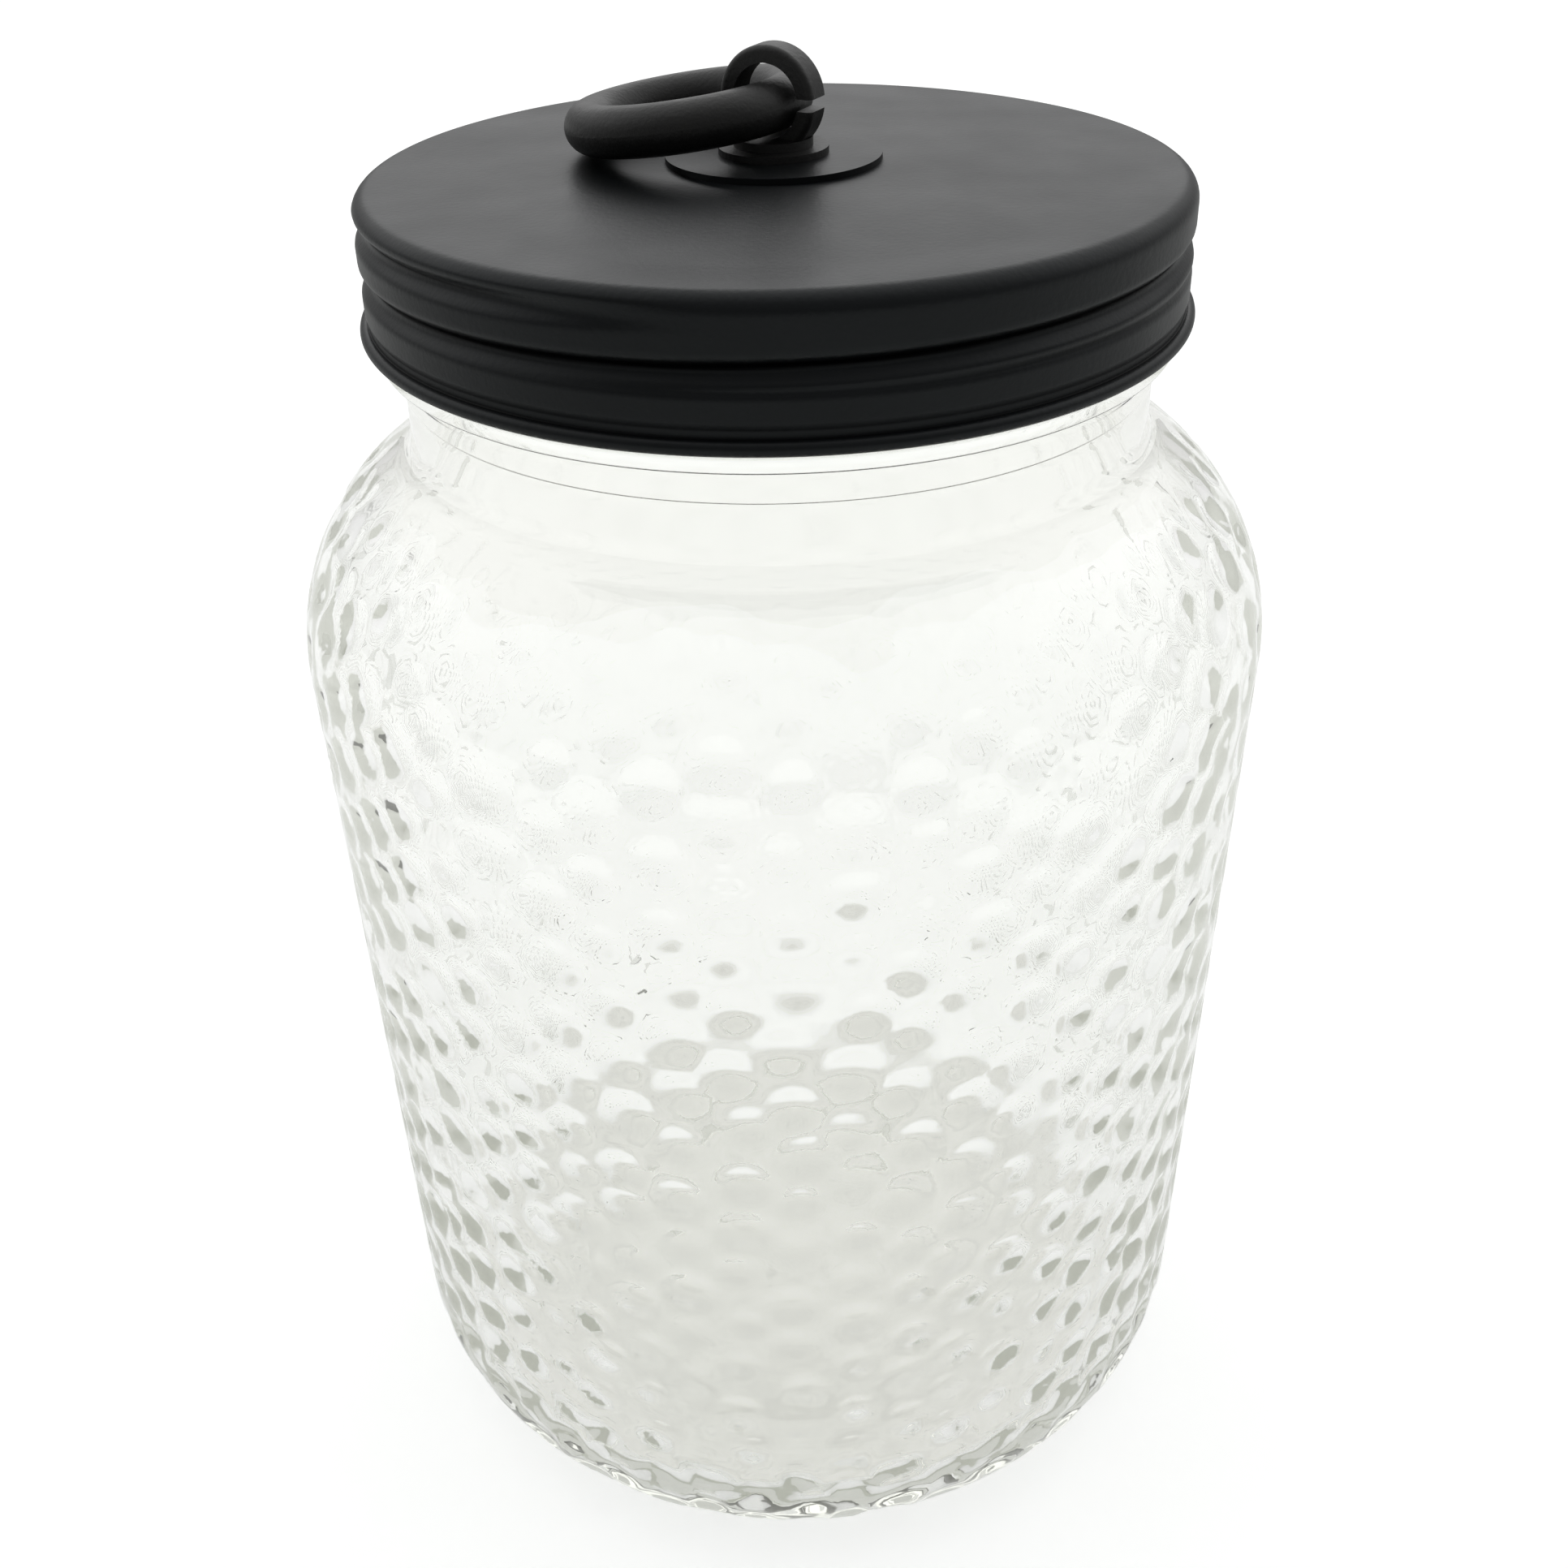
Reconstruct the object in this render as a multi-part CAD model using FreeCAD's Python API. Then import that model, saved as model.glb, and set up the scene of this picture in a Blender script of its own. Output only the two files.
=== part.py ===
import FreeCAD, Part
import math
import os

from FreeCAD import Rotation, Vector

# Mason jar lantern: a threaded glass jar, a sheet-metal screw lid with a liner, and a carry ring
# that swings in a split eye bolted through the lid.  Millimetres, +Z up, origin at the centre of
# the jar's base on the table, front towards -Y.

# ---------------------------------------------------------------- glass jar
JAR_HEIGHT = 201.0            # table to the rim of the mouth
SHOULDER_WIDTH = 19.0         # side wall, carried up to the shoulder slope, beyond the neck
BODY_TAPER = 2.9              # how much narrower the wall is at the table than at the shoulder
NECK_BASE_DROP = 33.03        # rim down to where the shoulder slope would meet the neck
SHOULDER_SLOPE = 30.0         # degrees above the horizontal
SHOULDER_ROUND = 31.5
HEEL_ROUND = 19.0
WALL = 3.2
MOUTH_WALL = 4.8              # thickness of the glass at the rim
NECK_INSET = 2.8              # neck inside the collar
NECK_ROUND = 4.0
INNER_NECK_ROUND = 8.0
COLLAR_HEIGHT = 2.0
COLLAR_LEDGE_HEIGHT = 0.9     # sloping underside of the collar
COLLAR_EDGE_ROUND = 0.5
NECK_BAND = 0.25              # slightly thicker band between the neck and the collar
NECK_BAND_HEIGHT = 4.8
NECK_BAND_ROUND = 0.3
BASE_THICKNESS = 5.5
STAND_WIDTH = 8.3             # flat of the ring that the jar stands on, inside the heel
STAND_EDGE_ROUND = 0.8
PUSH_UP = 3.0                 # hollow under the base
PUSH_UP_RUN = 7.0
PUSH_UP_ROUND = 5.0
FLOOR_ROUND = 8.0
RIM_OUTER_ROUND = 1.2
RIM_INNER_ROUND = 1.6

# ---------------------------------------------------------------- screw thread
PITCH = 6.35                  # right-handed, one start
THREAD_TURNS = 1.42
THREAD_HEIGHT = 1.45
THREAD_BASE_HALF = 1.5
THREAD_TIP_HALF = 0.5
THREAD_SINK = 0.4             # root of the thread inside the neck's surface
THREAD_TOP_ROOM = 1.0         # top of the thread below the rim
THREAD_GAP = 0.3              # axial clearance between the two threads
THREAD_RADIAL_GAP = 0.65      # glass crest to the lid's plain inner wall

# ---------------------------------------------------------------- sheet-metal lid
LID_RADIUS = 55.0
SHEET = 0.5
LID_SKIRT = 17.2              # top of the rim down to the centre of the rolled edge
LID_RIM_ROUND = 2.5
DOME_RISE = 1.1
DOME_ROUND = 30.0
DOME_EDGE = 10.0              # width of the level ring between the dome and the lid's rim
PAD_MARGIN = 2.75             # level middle of the dome beyond the disc that sits on it
BEAD_RADIUS = 0.95
BEAD_STAND_OUT = 0.95         # rolled edge beyond the skirt
SKIRT_NECK_IN = 0.35          # skirt draws in by this much above the rolled edge
SKIRT_ROUND = 0.8
COLLAR_GAP = 0.55             # rolled edge to the jar's collar
ROLL_DEPTH = 1.3
ROLL_BASE_HALF = 1.75
ROLL_TIP_HALF = 0.4
ROLL_DROP = 8.7               # groove below the lid's top edge at the front
ROLL_TOP_ROOM = 2.44          # lid's top edge down to where the groove ends
ROLL_BOTTOM_ROOM = 5.68       # centre of the rolled edge up to where the groove begins
FRONT = -90.0                 # degrees about the lid's axis
FADE_TURNS = 0.11             # length over which each thread runs out
FADE_HEIGHT = 0.1             # share of a thread's height that is left at its very ends
SECTION_STEP = 10.0           # degrees between the sections of a thread

# ---------------------------------------------------------------- liner and its seats
LINER_THICKNESS = 1.0
LINER_OVERLAP = 0.8           # liner inside the mouth's edge
LINER_ROUND = 0.3
SEAT_GAP = 0.1                # rim to liner, and liner to lid

# ---------------------------------------------------------------- disc, eye and stud
DISC_RADIUS = 14.25
DISC_THICKNESS = 0.8
FLANGE_RADIUS = 7.25
FLANGE_THICKNESS = 0.9
BOSS_RADIUS = 5.2
BOSS_HEIGHT = 1.15
BOSS_SINK = 0.05              # boss top above the lowest point of the eye's hole
EYE_HOLE_CLEARANCE = 1.4      # eye's hole around the ring's bar
EYE_WALL = 2.1
EYE_DEPTH = 4.4
EYE_EDGE_ROUND = 0.8
EYE_YAW = 28.0                # degrees that the eye is turned about the vertical
EYE_SLIT = 1.5                # opening on the eye's right side
EYE_SLIT_DROP = 0.15          # middle of the opening below the eye's centre
STUD_RADIUS = 2.0
STUD_CLEARANCE = 0.15
STUD_END = 1.0                # stud beyond the nut
STUD_CHAMFER = 0.4
WASHER_WIDTH = 3.85           # from its hole to its edge
WASHER_THICKNESS = 0.8
NUT_WALL = 1.47               # nut's flats beyond its bore
NUT_HEIGHT = 3.2
NUT_CLEARANCE = 0.03

# ---------------------------------------------------------------- carry ring
RING_RADIUS = 13.4            # to the middle of the bar
RING_BAR_RADIUS = 3.25
RING_SIDE_SHIFT = 0.65        # bar's middle to the right of the eye's centre
RING_DROP = 0.6               # bar's middle below the eye's centre
RING_REST_GAP = 0.2           # bar to the lid where the ring's far end lies

# ---------------------------------------------------------------- worked out from the sizes above
SLOPE = math.tan(math.radians(SHOULDER_SLOPE))
FINISH_RADIUS = LID_RADIUS - SHEET - THREAD_RADIAL_GAP - THREAD_HEIGHT
MOUTH_RADIUS = FINISH_RADIUS - MOUTH_WALL
COLLAR_RADIUS = LID_RADIUS - 2 * SHEET
NECK_RADIUS = COLLAR_RADIUS - NECK_INSET
BODY_RADIUS = NECK_RADIUS + SHOULDER_WIDTH
FOOT_RADIUS = BODY_RADIUS - BODY_TAPER
STAND_INNER_RADIUS = FOOT_RADIUS - HEEL_ROUND - STAND_WIDTH
LID_TOP = JAR_HEIGHT + SEAT_GAP + LINER_THICKNESS + SEAT_GAP + SHEET
BEAD_Z = LID_TOP - LID_SKIRT
DOME_OUTER_RADIUS = LID_RADIUS - DOME_EDGE
DOME_PAD_RADIUS = DISC_RADIUS + PAD_MARGIN
ROLL_FRONT_Z = LID_TOP - ROLL_DROP
ROLL_START_Z = BEAD_Z + ROLL_BOTTOM_ROOM
ROLL_START = FRONT + 360 * (ROLL_START_Z - ROLL_FRONT_Z) / PITCH
ROLL_TURNS = (LID_TOP - ROLL_TOP_ROOM - ROLL_START_Z) / PITCH
PAD_TOP = LID_TOP + DOME_RISE
DISC_TOP = PAD_TOP + DISC_THICKNESS
BOSS_TOP = DISC_TOP + FLANGE_THICKNESS + BOSS_HEIGHT
EYE_HOLE_RADIUS = RING_BAR_RADIUS + EYE_HOLE_CLEARANCE
EYE_RADIUS = EYE_HOLE_RADIUS + EYE_WALL
EYE_CENTRE = BOSS_TOP + EYE_HOLE_RADIUS - BOSS_SINK
STUD_HOLE_RADIUS = STUD_RADIUS + STUD_CLEARANCE
NUT_BORE_RADIUS = STUD_RADIUS + NUT_CLEARANCE
WASHER_TOP = PAD_TOP - SHEET
NUT_TOP = WASHER_TOP - WASHER_THICKNESS
NUT_BOTTOM = NUT_TOP - NUT_HEIGHT
STUD_BOTTOM = NUT_BOTTOM - STUD_END


def rounded_outline(corners):
    """Closed wire in the XZ plane through (x, z, radius) corners, each rounded by its radius."""
    points = [Vector(x, 0, z) for x, z, _ in corners]
    count = len(points)
    stretches = []
    for i, (_, _, radius) in enumerate(corners):
        corner = points[i]
        before = (points[i - 1] - corner).normalize()
        after = (points[(i + 1) % count] - corner).normalize()
        if radius == 0:
            stretches.append((corner, None, corner))
            continue
        half = before.getAngle(after) / 2
        setback = radius / math.tan(half)
        middle = (before + after).normalize() * (radius / math.sin(half) - radius)
        stretches.append((corner + before * setback, corner + middle, corner + after * setback))
    edges = []
    for i, (start, middle, end) in enumerate(stretches):
        if middle is not None:
            edges.append(Part.Arc(start, middle, end).toShape())
        following = stretches[(i + 1) % count][0]
        if end.distanceToPoint(following) > 1e-6:
            edges.append(Part.LineSegment(end, following).toShape())
    return Part.Wire(edges)


def turned(corners):
    """Solid of revolution about Z of a rounded outline."""
    face = Part.Face(rounded_outline(corners))
    return face.revolve(Vector(0, 0, 0), Vector(0, 0, 1), 360)


def disc(radius, height, bottom, hole=0.0):
    """Flat round piece, with a hole through it if one is given."""
    solid = Part.makeCylinder(radius, height, Vector(0, 0, bottom))
    if hole > 0:
        solid = solid.cut(Part.makeCylinder(hole, 3 * height, Vector(0, 0, bottom - height)))
    return solid


def ease(t):
    """Smooth step from 0 to 1."""
    t = max(0.0, min(1.0, t))
    return t * t * (3 - 2 * t)


def helical_rib(root_radius, tip_radius, root_half, tip_half, start, turns, front_z):
    """Right-handed rib whose tip sinks back to its root at both ends.

    start is the angle where it begins, and front_z its height where it passes FRONT."""
    sections = []
    steps = int(round(turns * 360 / SECTION_STEP))
    for i in range(steps + 1):
        turn = turns * i / steps
        angle = start + 360 * turn
        rise = PITCH * (angle - FRONT) / 360
        full = ease(turn / FADE_TURNS) * ease((turns - turn) / FADE_TURNS)
        tip = root_radius + (tip_radius - root_radius) * (FADE_HEIGHT + (1 - FADE_HEIGHT) * full)
        corners = [(root_radius, -root_half), (tip, -tip_half), (tip, tip_half), (root_radius, root_half)]
        turn_to = Rotation(Vector(0, 0, 1), angle)
        points = [turn_to.multVec(Vector(r, 0, front_z + rise + z)) for r, z in corners]
        sections.append(Part.makePolygon(points + points[:1]))
    return Part.makeLoft(sections, True, False)


def slope_round(wanted, width, wall_height, neck_round):
    """Shoulder radius, no larger than leaves room for the neck's radius on the slope between them."""
    length = width / math.cos(math.radians(SHOULDER_SLOPE))
    neck_share = neck_round * math.tan(math.radians(90 - SHOULDER_SLOPE) / 2)
    turn = math.radians(90 - SHOULDER_SLOPE) + math.atan(BODY_TAPER / wall_height)
    return min(wanted, (length - neck_share) / math.tan(turn / 2))


def glass_jar():
    neck_base = JAR_HEIGHT - NECK_BASE_DROP
    shoulder = neck_base - SHOULDER_WIDTH * SLOPE
    collar_top = BEAD_Z - BEAD_RADIUS - COLLAR_GAP
    collar_bottom = collar_top - COLLAR_HEIGHT
    band_bottom = collar_bottom - NECK_BAND_HEIGHT
    inner_body = BODY_RADIUS - WALL
    inner_shoulder = shoulder + WALL * SLOPE - WALL / math.cos(math.radians(SHOULDER_SLOPE))
    inner_neck_base = inner_shoulder + (inner_body - MOUTH_RADIUS) * SLOPE
    floor_top = PUSH_UP + BASE_THICKNESS
    outer_round = slope_round(SHOULDER_ROUND, SHOULDER_WIDTH, shoulder, NECK_ROUND)
    inner_round = slope_round(SHOULDER_ROUND - WALL, inner_body - MOUTH_RADIUS,
                              inner_shoulder - BASE_THICKNESS, INNER_NECK_ROUND)
    body = turned([
        (0, PUSH_UP, 0),
        (STAND_INNER_RADIUS - PUSH_UP_RUN, PUSH_UP, PUSH_UP_ROUND),
        (STAND_INNER_RADIUS, 0, STAND_EDGE_ROUND),
        (FOOT_RADIUS, 0, HEEL_ROUND),
        (BODY_RADIUS, shoulder, outer_round),
        (NECK_RADIUS, neck_base, NECK_ROUND),
        (NECK_RADIUS, band_bottom, NECK_BAND_ROUND),
        (NECK_RADIUS + NECK_BAND, band_bottom + NECK_BAND, NECK_BAND_ROUND),
        (NECK_RADIUS + NECK_BAND, collar_bottom - COLLAR_LEDGE_HEIGHT, NECK_BAND_ROUND),
        (COLLAR_RADIUS, collar_bottom, COLLAR_EDGE_ROUND),
        (COLLAR_RADIUS, collar_top, COLLAR_EDGE_ROUND),
        (FINISH_RADIUS, collar_top, COLLAR_EDGE_ROUND),
        (FINISH_RADIUS, JAR_HEIGHT, RIM_OUTER_ROUND),
        (MOUTH_RADIUS, JAR_HEIGHT, RIM_INNER_ROUND),
        (MOUTH_RADIUS, inner_neck_base, INNER_NECK_ROUND),
        (inner_body, inner_shoulder, inner_round),
        (FOOT_RADIUS - WALL, BASE_THICKNESS, HEEL_ROUND - WALL),
        (STAND_INNER_RADIUS, BASE_THICKNESS, FLOOR_ROUND),
        (STAND_INNER_RADIUS - PUSH_UP_RUN, floor_top, FLOOR_ROUND),
        (0, floor_top, 0),
    ])
    return body.fuse(jar_thread()).removeSplitter()


def thread_lift():
    """How far the glass thread runs above the lid's, so that they clear by THREAD_GAP."""
    crest = FINISH_RADIUS + THREAD_HEIGHT
    lid_tip = LID_RADIUS - ROLL_DEPTH - SHEET
    lid_root = LID_RADIUS - SHEET / 4
    share = (crest - lid_tip) / (lid_root - lid_tip)
    lid_half = ROLL_TIP_HALF + SHEET + share * (ROLL_BASE_HALF - ROLL_TIP_HALF)
    return lid_half + THREAD_TIP_HALF + THREAD_GAP


def jar_thread():
    front_z = ROLL_FRONT_Z + thread_lift()
    top_z = JAR_HEIGHT - THREAD_TOP_ROOM - THREAD_BASE_HALF
    start = FRONT + 360 * ((top_z - front_z) / PITCH - THREAD_TURNS)
    return helical_rib(FINISH_RADIUS - THREAD_SINK, FINISH_RADIUS + THREAD_HEIGHT, THREAD_BASE_HALF,
                       THREAD_TIP_HALF, start, THREAD_TURNS, front_z)


def lid_shell():
    neck_radius = LID_RADIUS - SKIRT_NECK_IN
    neck_z = BEAD_Z + 2 * BEAD_RADIUS
    draw_z = neck_z + BEAD_RADIUS
    shell = turned([
        (0, PAD_TOP - SHEET, 0),
        (0, PAD_TOP, 0),
        (DOME_PAD_RADIUS, PAD_TOP, DOME_ROUND),
        (DOME_OUTER_RADIUS, LID_TOP, DOME_ROUND),
        (LID_RADIUS, LID_TOP, LID_RIM_ROUND),
        (LID_RADIUS, draw_z, SKIRT_ROUND),
        (neck_radius, neck_z, SKIRT_ROUND),
        (neck_radius, BEAD_Z, 0),
        (neck_radius - SHEET, BEAD_Z, 0),
        (neck_radius - SHEET, neck_z, SKIRT_ROUND),
        (LID_RADIUS - SHEET, draw_z, SKIRT_ROUND),
        (LID_RADIUS - SHEET, LID_TOP - SHEET, LID_RIM_ROUND - SHEET),
        (DOME_OUTER_RADIUS, LID_TOP - SHEET, DOME_ROUND),
        (DOME_PAD_RADIUS, PAD_TOP - SHEET, DOME_ROUND),
    ])
    inside = helical_rib(LID_RADIUS - SHEET / 4, LID_RADIUS - ROLL_DEPTH - SHEET, ROLL_BASE_HALF + SHEET,
                         ROLL_TIP_HALF + SHEET, ROLL_START, ROLL_TURNS, ROLL_FRONT_Z)
    outside = helical_rib(LID_RADIUS + SHEET, LID_RADIUS - ROLL_DEPTH, ROLL_BASE_HALF + SHEET / 2,
                          ROLL_TIP_HALF, ROLL_START, ROLL_TURNS, ROLL_FRONT_Z)
    bead_centre = LID_RADIUS + BEAD_STAND_OUT - BEAD_RADIUS
    bead = Part.makeTorus(bead_centre, BEAD_RADIUS, Vector(0, 0, BEAD_Z))
    bead = bead.cut(Part.makeTorus(bead_centre, BEAD_RADIUS - SHEET, Vector(0, 0, BEAD_Z)))
    stud_hole = disc(STUD_HOLE_RADIUS, 3 * SHEET, PAD_TOP - 2 * SHEET)
    return shell.fuse(inside).cut(outside).fuse(bead).cut(stud_hole)


def lid_liner():
    bottom = JAR_HEIGHT + SEAT_GAP
    top = bottom + LINER_THICKNESS
    inner = MOUTH_RADIUS - LINER_OVERLAP
    outer = LID_RADIUS - LID_RIM_ROUND
    return turned([
        (inner, bottom, LINER_ROUND),
        (outer, bottom, LINER_ROUND),
        (outer, top, LINER_ROUND),
        (inner, top, LINER_ROUND),
    ])


def eye_frame(solid):
    """Places a solid made about the origin, with the eye's hole along Y, at the eye's centre."""
    solid.rotate(Vector(0, 0, 0), Vector(0, 0, 1), -EYE_YAW)
    solid.translate(Vector(0, 0, EYE_CENTRE))
    return solid


def split_eye():
    half = EYE_DEPTH / 2
    along = Vector(0, 1, 0)
    loop = Part.makeCylinder(EYE_RADIUS, EYE_DEPTH, Vector(0, -half, 0), along)
    loop = loop.makeFillet(EYE_EDGE_ROUND, [e for e in loop.Edges if isinstance(e.Curve, Part.Circle)])
    hole = Part.makeCylinder(EYE_HOLE_RADIUS, 2 * EYE_DEPTH, Vector(0, -EYE_DEPTH, 0), along)
    loop = loop.cut(hole)
    slit = Part.makeBox(2 * EYE_RADIUS, 2 * EYE_DEPTH, EYE_SLIT,
                        Vector(0, -EYE_DEPTH, -EYE_SLIT_DROP - EYE_SLIT / 2))
    loop = loop.cut(slit)
    side = 4 * EYE_RADIUS
    below = Part.makeBox(side, side, side, Vector(-side / 2, -side / 2, DISC_TOP - EYE_CENTRE - side))
    return eye_frame(loop.cut(below))


def eye_bolt():
    flange = disc(FLANGE_RADIUS, FLANGE_THICKNESS, DISC_TOP)
    boss = disc(BOSS_RADIUS, FLANGE_THICKNESS + BOSS_HEIGHT, DISC_TOP)
    stud = Part.makeCylinder(STUD_RADIUS, DISC_TOP - STUD_BOTTOM + FLANGE_THICKNESS / 2,
                             Vector(0, 0, STUD_BOTTOM))
    end_edges = [e for e in stud.Edges if e.BoundBox.ZMax < STUD_BOTTOM + STUD_CHAMFER]
    stud = stud.makeChamfer(STUD_CHAMFER, end_edges)
    return flange.fuse([boss, split_eye(), stud]).removeSplitter()


def stud_nut():
    """Hexagon nut whose lower corners are turned away by a cone."""
    corner = (NUT_BORE_RADIUS + NUT_WALL) * 2 / math.sqrt(3)
    points = []
    for k in range(7):
        angle = math.radians(60 * k)
        points.append(Vector(corner * math.cos(angle), corner * math.sin(angle), NUT_BOTTOM))
    prism = Part.Face(Part.makePolygon(points)).extrude(Vector(0, 0, NUT_HEIGHT))
    cone = Part.makeCone(corner, corner + 2 * NUT_HEIGHT, NUT_HEIGHT, Vector(0, 0, NUT_BOTTOM))
    bore = Part.makeCylinder(NUT_BORE_RADIUS, NUT_HEIGHT, Vector(0, 0, NUT_BOTTOM))
    return prism.common(cone).cut(bore)


def panel_height(radius):
    """Height of the lid's top face at a distance from its axis."""
    share = (DOME_OUTER_RADIUS - radius) / (DOME_OUTER_RADIUS - DOME_PAD_RADIUS)
    return LID_TOP + DOME_RISE * max(0.0, min(1.0, share))


def ring_tilt():
    """Angle below the horizontal at which the ring's far end comes to rest over the lid."""
    bar_height = EYE_CENTRE - RING_DROP
    far_height = panel_height(2 * RING_RADIUS - RING_SIDE_SHIFT) + RING_BAR_RADIUS + RING_REST_GAP
    return math.degrees(math.asin((bar_height - far_height) / (2 * RING_RADIUS)))


def carry_ring():
    ring = Part.makeTorus(RING_RADIUS, RING_BAR_RADIUS)
    ring.translate(Vector(-RING_RADIUS, 0, 0))
    ring.rotate(Vector(0, 0, 0), Vector(0, 1, 0), -ring_tilt())
    ring.translate(Vector(RING_SIDE_SHIFT, 0, -RING_DROP))
    return eye_frame(ring)


def main():
    os.makedirs("parts", exist_ok=True)
    washer_bottom = WASHER_TOP - WASHER_THICKNESS
    pieces = {
        "glass_jar": glass_jar(),
        "lid_shell": lid_shell(),
        "lid_liner": lid_liner(),
        "backing_disc": disc(DISC_RADIUS, DISC_THICKNESS, PAD_TOP, STUD_HOLE_RADIUS),
        "eye_bolt": eye_bolt(),
        "inner_washer": disc(STUD_HOLE_RADIUS + WASHER_WIDTH, WASHER_THICKNESS, washer_bottom,
                             STUD_HOLE_RADIUS),
        "stud_nut": stud_nut(),
        "carry_ring": carry_ring(),
    }
    for name, shape in pieces.items():
        state = "valid" if shape.isValid() else "INVALID"
        print(name, len(shape.Solids), "solid", state, round(shape.Volume, 1), "mm3")
        shape.exportStep(f"parts/{name}.step")
    print("ring tilt", round(ring_tilt(), 3))


main()
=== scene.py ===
import math

import bpy
import numpy as np
from mathutils import Matrix, Vector


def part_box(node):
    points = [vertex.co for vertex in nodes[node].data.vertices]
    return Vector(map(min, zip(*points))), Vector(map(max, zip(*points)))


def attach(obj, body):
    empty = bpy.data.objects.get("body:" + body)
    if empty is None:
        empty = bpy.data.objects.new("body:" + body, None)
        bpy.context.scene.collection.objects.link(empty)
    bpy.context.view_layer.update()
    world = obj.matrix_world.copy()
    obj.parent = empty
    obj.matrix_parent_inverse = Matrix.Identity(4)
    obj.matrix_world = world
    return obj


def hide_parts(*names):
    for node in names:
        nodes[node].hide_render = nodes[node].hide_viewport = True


# The mason jar lantern's looks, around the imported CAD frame.  Metres, +Z up, the jar stands on z = 0
# with its front towards -Y.  The outlines' sizes are in millimetres, and MM turns them into metres.

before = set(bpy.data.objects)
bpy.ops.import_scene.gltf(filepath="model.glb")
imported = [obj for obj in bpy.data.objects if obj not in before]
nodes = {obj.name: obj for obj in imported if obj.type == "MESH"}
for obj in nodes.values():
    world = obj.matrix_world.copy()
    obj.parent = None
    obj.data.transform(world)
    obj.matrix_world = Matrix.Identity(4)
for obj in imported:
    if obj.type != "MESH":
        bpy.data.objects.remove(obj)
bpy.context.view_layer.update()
MM = 0.001

# ---------------------------------------------------------------- sizes that the looks share with CAD
jar_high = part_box("glass_jar")[1]
lid_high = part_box("lid_shell")[1]
JAR_HEIGHT = jar_high.z / MM
SHEET = 0.5
DOME_RISE = 1.1
LID_TOP = lid_high.z / MM - DOME_RISE
PITCH = 6.35
FRONT = -90.0                 # degrees about the jar's axis

BODY_RADIUS = 70.2
BODY_TAPER = 2.9              # how much narrower the wall is at the table than at the shoulder
SHOULDER_DROP = 44.0
SHOULDER_SLOPE = math.radians(30.0)
SHOULDER_ROUND = 31.5
HEEL_ROUND = 19.0
WALL = 3.2
NECK_RADIUS = 51.2
NECK_ROUND = 4.0
INNER_NECK_ROUND = 8.0
FINISH_RADIUS = 52.4
MOUTH_RADIUS = 47.6
RIM_OUTER_ROUND = 1.2
RIM_INNER_ROUND = 1.6
RIM_BAND = 3.0                # height of the finish that belongs to the inside's outline
COLLAR_RADIUS = 54.0
COLLAR_TOP_DROP = 17.0
COLLAR_HEIGHT = 2.0
COLLAR_LEDGE_HEIGHT = 0.9     # sloping underside of the collar
COLLAR_EDGE_ROUND = 0.5
NECK_BAND = 0.25              # slightly thicker band between the neck and the collar
NECK_BAND_HEIGHT = 4.8
NECK_BAND_ROUND = 0.3
BASE_THICKNESS = 5.5
FLOOR_ROUND = 8.0
STAND_INNER = 40.0
STAND_EDGE_ROUND = 0.8
PUSH_UP = 3.0
PUSH_UP_RUN = 7.0
PUSH_UP_ROUND = 5.0

THREAD_HEIGHT = 1.4
THREAD_BASE_HALF = 1.35
THREAD_TIP_HALF = 0.45
THREAD_TURNS = 1.42
THREAD_LIFT = 2.2             # glass thread above the lid's groove, at the front
THREAD_TOP_ROOM = 1.15        # top of the thread below the rim

LID_RADIUS = 55.0
LID_SKIRT = 17.2              # top edge down to the centre of the rolled edge
LID_RIM_ROUND = 2.5
DOME_OUTER = 45.0
DOME_PAD = 17.0
DOME_ROUND = 30.0
BEAD_RADIUS = 0.95            # of the rolled edge
BEAD_START = 190.0            # degrees where its curl begins, and the number of points along it
BEAD_POINTS = 26
BEAD_MEET = 1.2               # where the skirt starts above the rolled edge's centre, in its radii
NECK_IN = 0.35                # skirt draws in by this much above the rolled edge
SKIRT_ROUND = 0.8
STUD_HOLE = 2.15
BAND_DROP = 10.7              # shallow groove round the skirt, below the lid's top edge
BAND_DEPTH = 0.4
BAND_HALF = 0.9
ROLL_DROP = 8.7               # rolled thread's groove below the top edge, at the front
ROLL_DEPTH = 1.28
ROLL_BASE_HALF = 2.1
ROLL_TIP_HALF = 0.15
ROLL_START = -250.0
ROLL_TURNS = 1.43
ROLL_TOP_ROOM = 1.0           # groove may reach this far above the skirt's top
FADE_TURNS = 0.11             # length over which each thread runs out
WHOLE_TURNS = range(-3, 3)    # turns of a thread that are tried at each point

# ---------------------------------------------------------------- the hammered pattern
DIMPLES_ROUND = 28            # dimples in one ring, with each ring turned by half a dimple
DIMPLE_ROW = 4.75             # height from one ring to the next
DIMPLE_HALF_WIDTH = 3.9       # around the jar, and up it
DIMPLE_HALF_HEIGHT = 3.5
DIMPLE_DEPTH = 0.75
DIMPLE_SHIFT = 0.9            # unevenness of the dimples' places, sizes and depths
DIMPLE_UNEVEN_SIZE = 0.14
DIMPLE_UNEVEN_DEPTH = 0.25
DIMPLE_NARROW = 0.7           # power by which the dimples narrow where the jar does
NEAR_ROWS = range(-1, 3)      # rows of dimples that can reach a point
SPARE_ROWS = 8
PATTERN_TOP = 37.5            # below the rim, where the neck turns into the shoulder
PATTERN_EDGE = 6.0            # length over which the pattern starts, at its top and at the stand
PATTERN_INSET = 5.0           # plain ring outside the stand's inner edge
INNER_WAVE = 0.05
INNER_WAVE_START = 4.0        # above the jar's floor
SEED = 11

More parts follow.
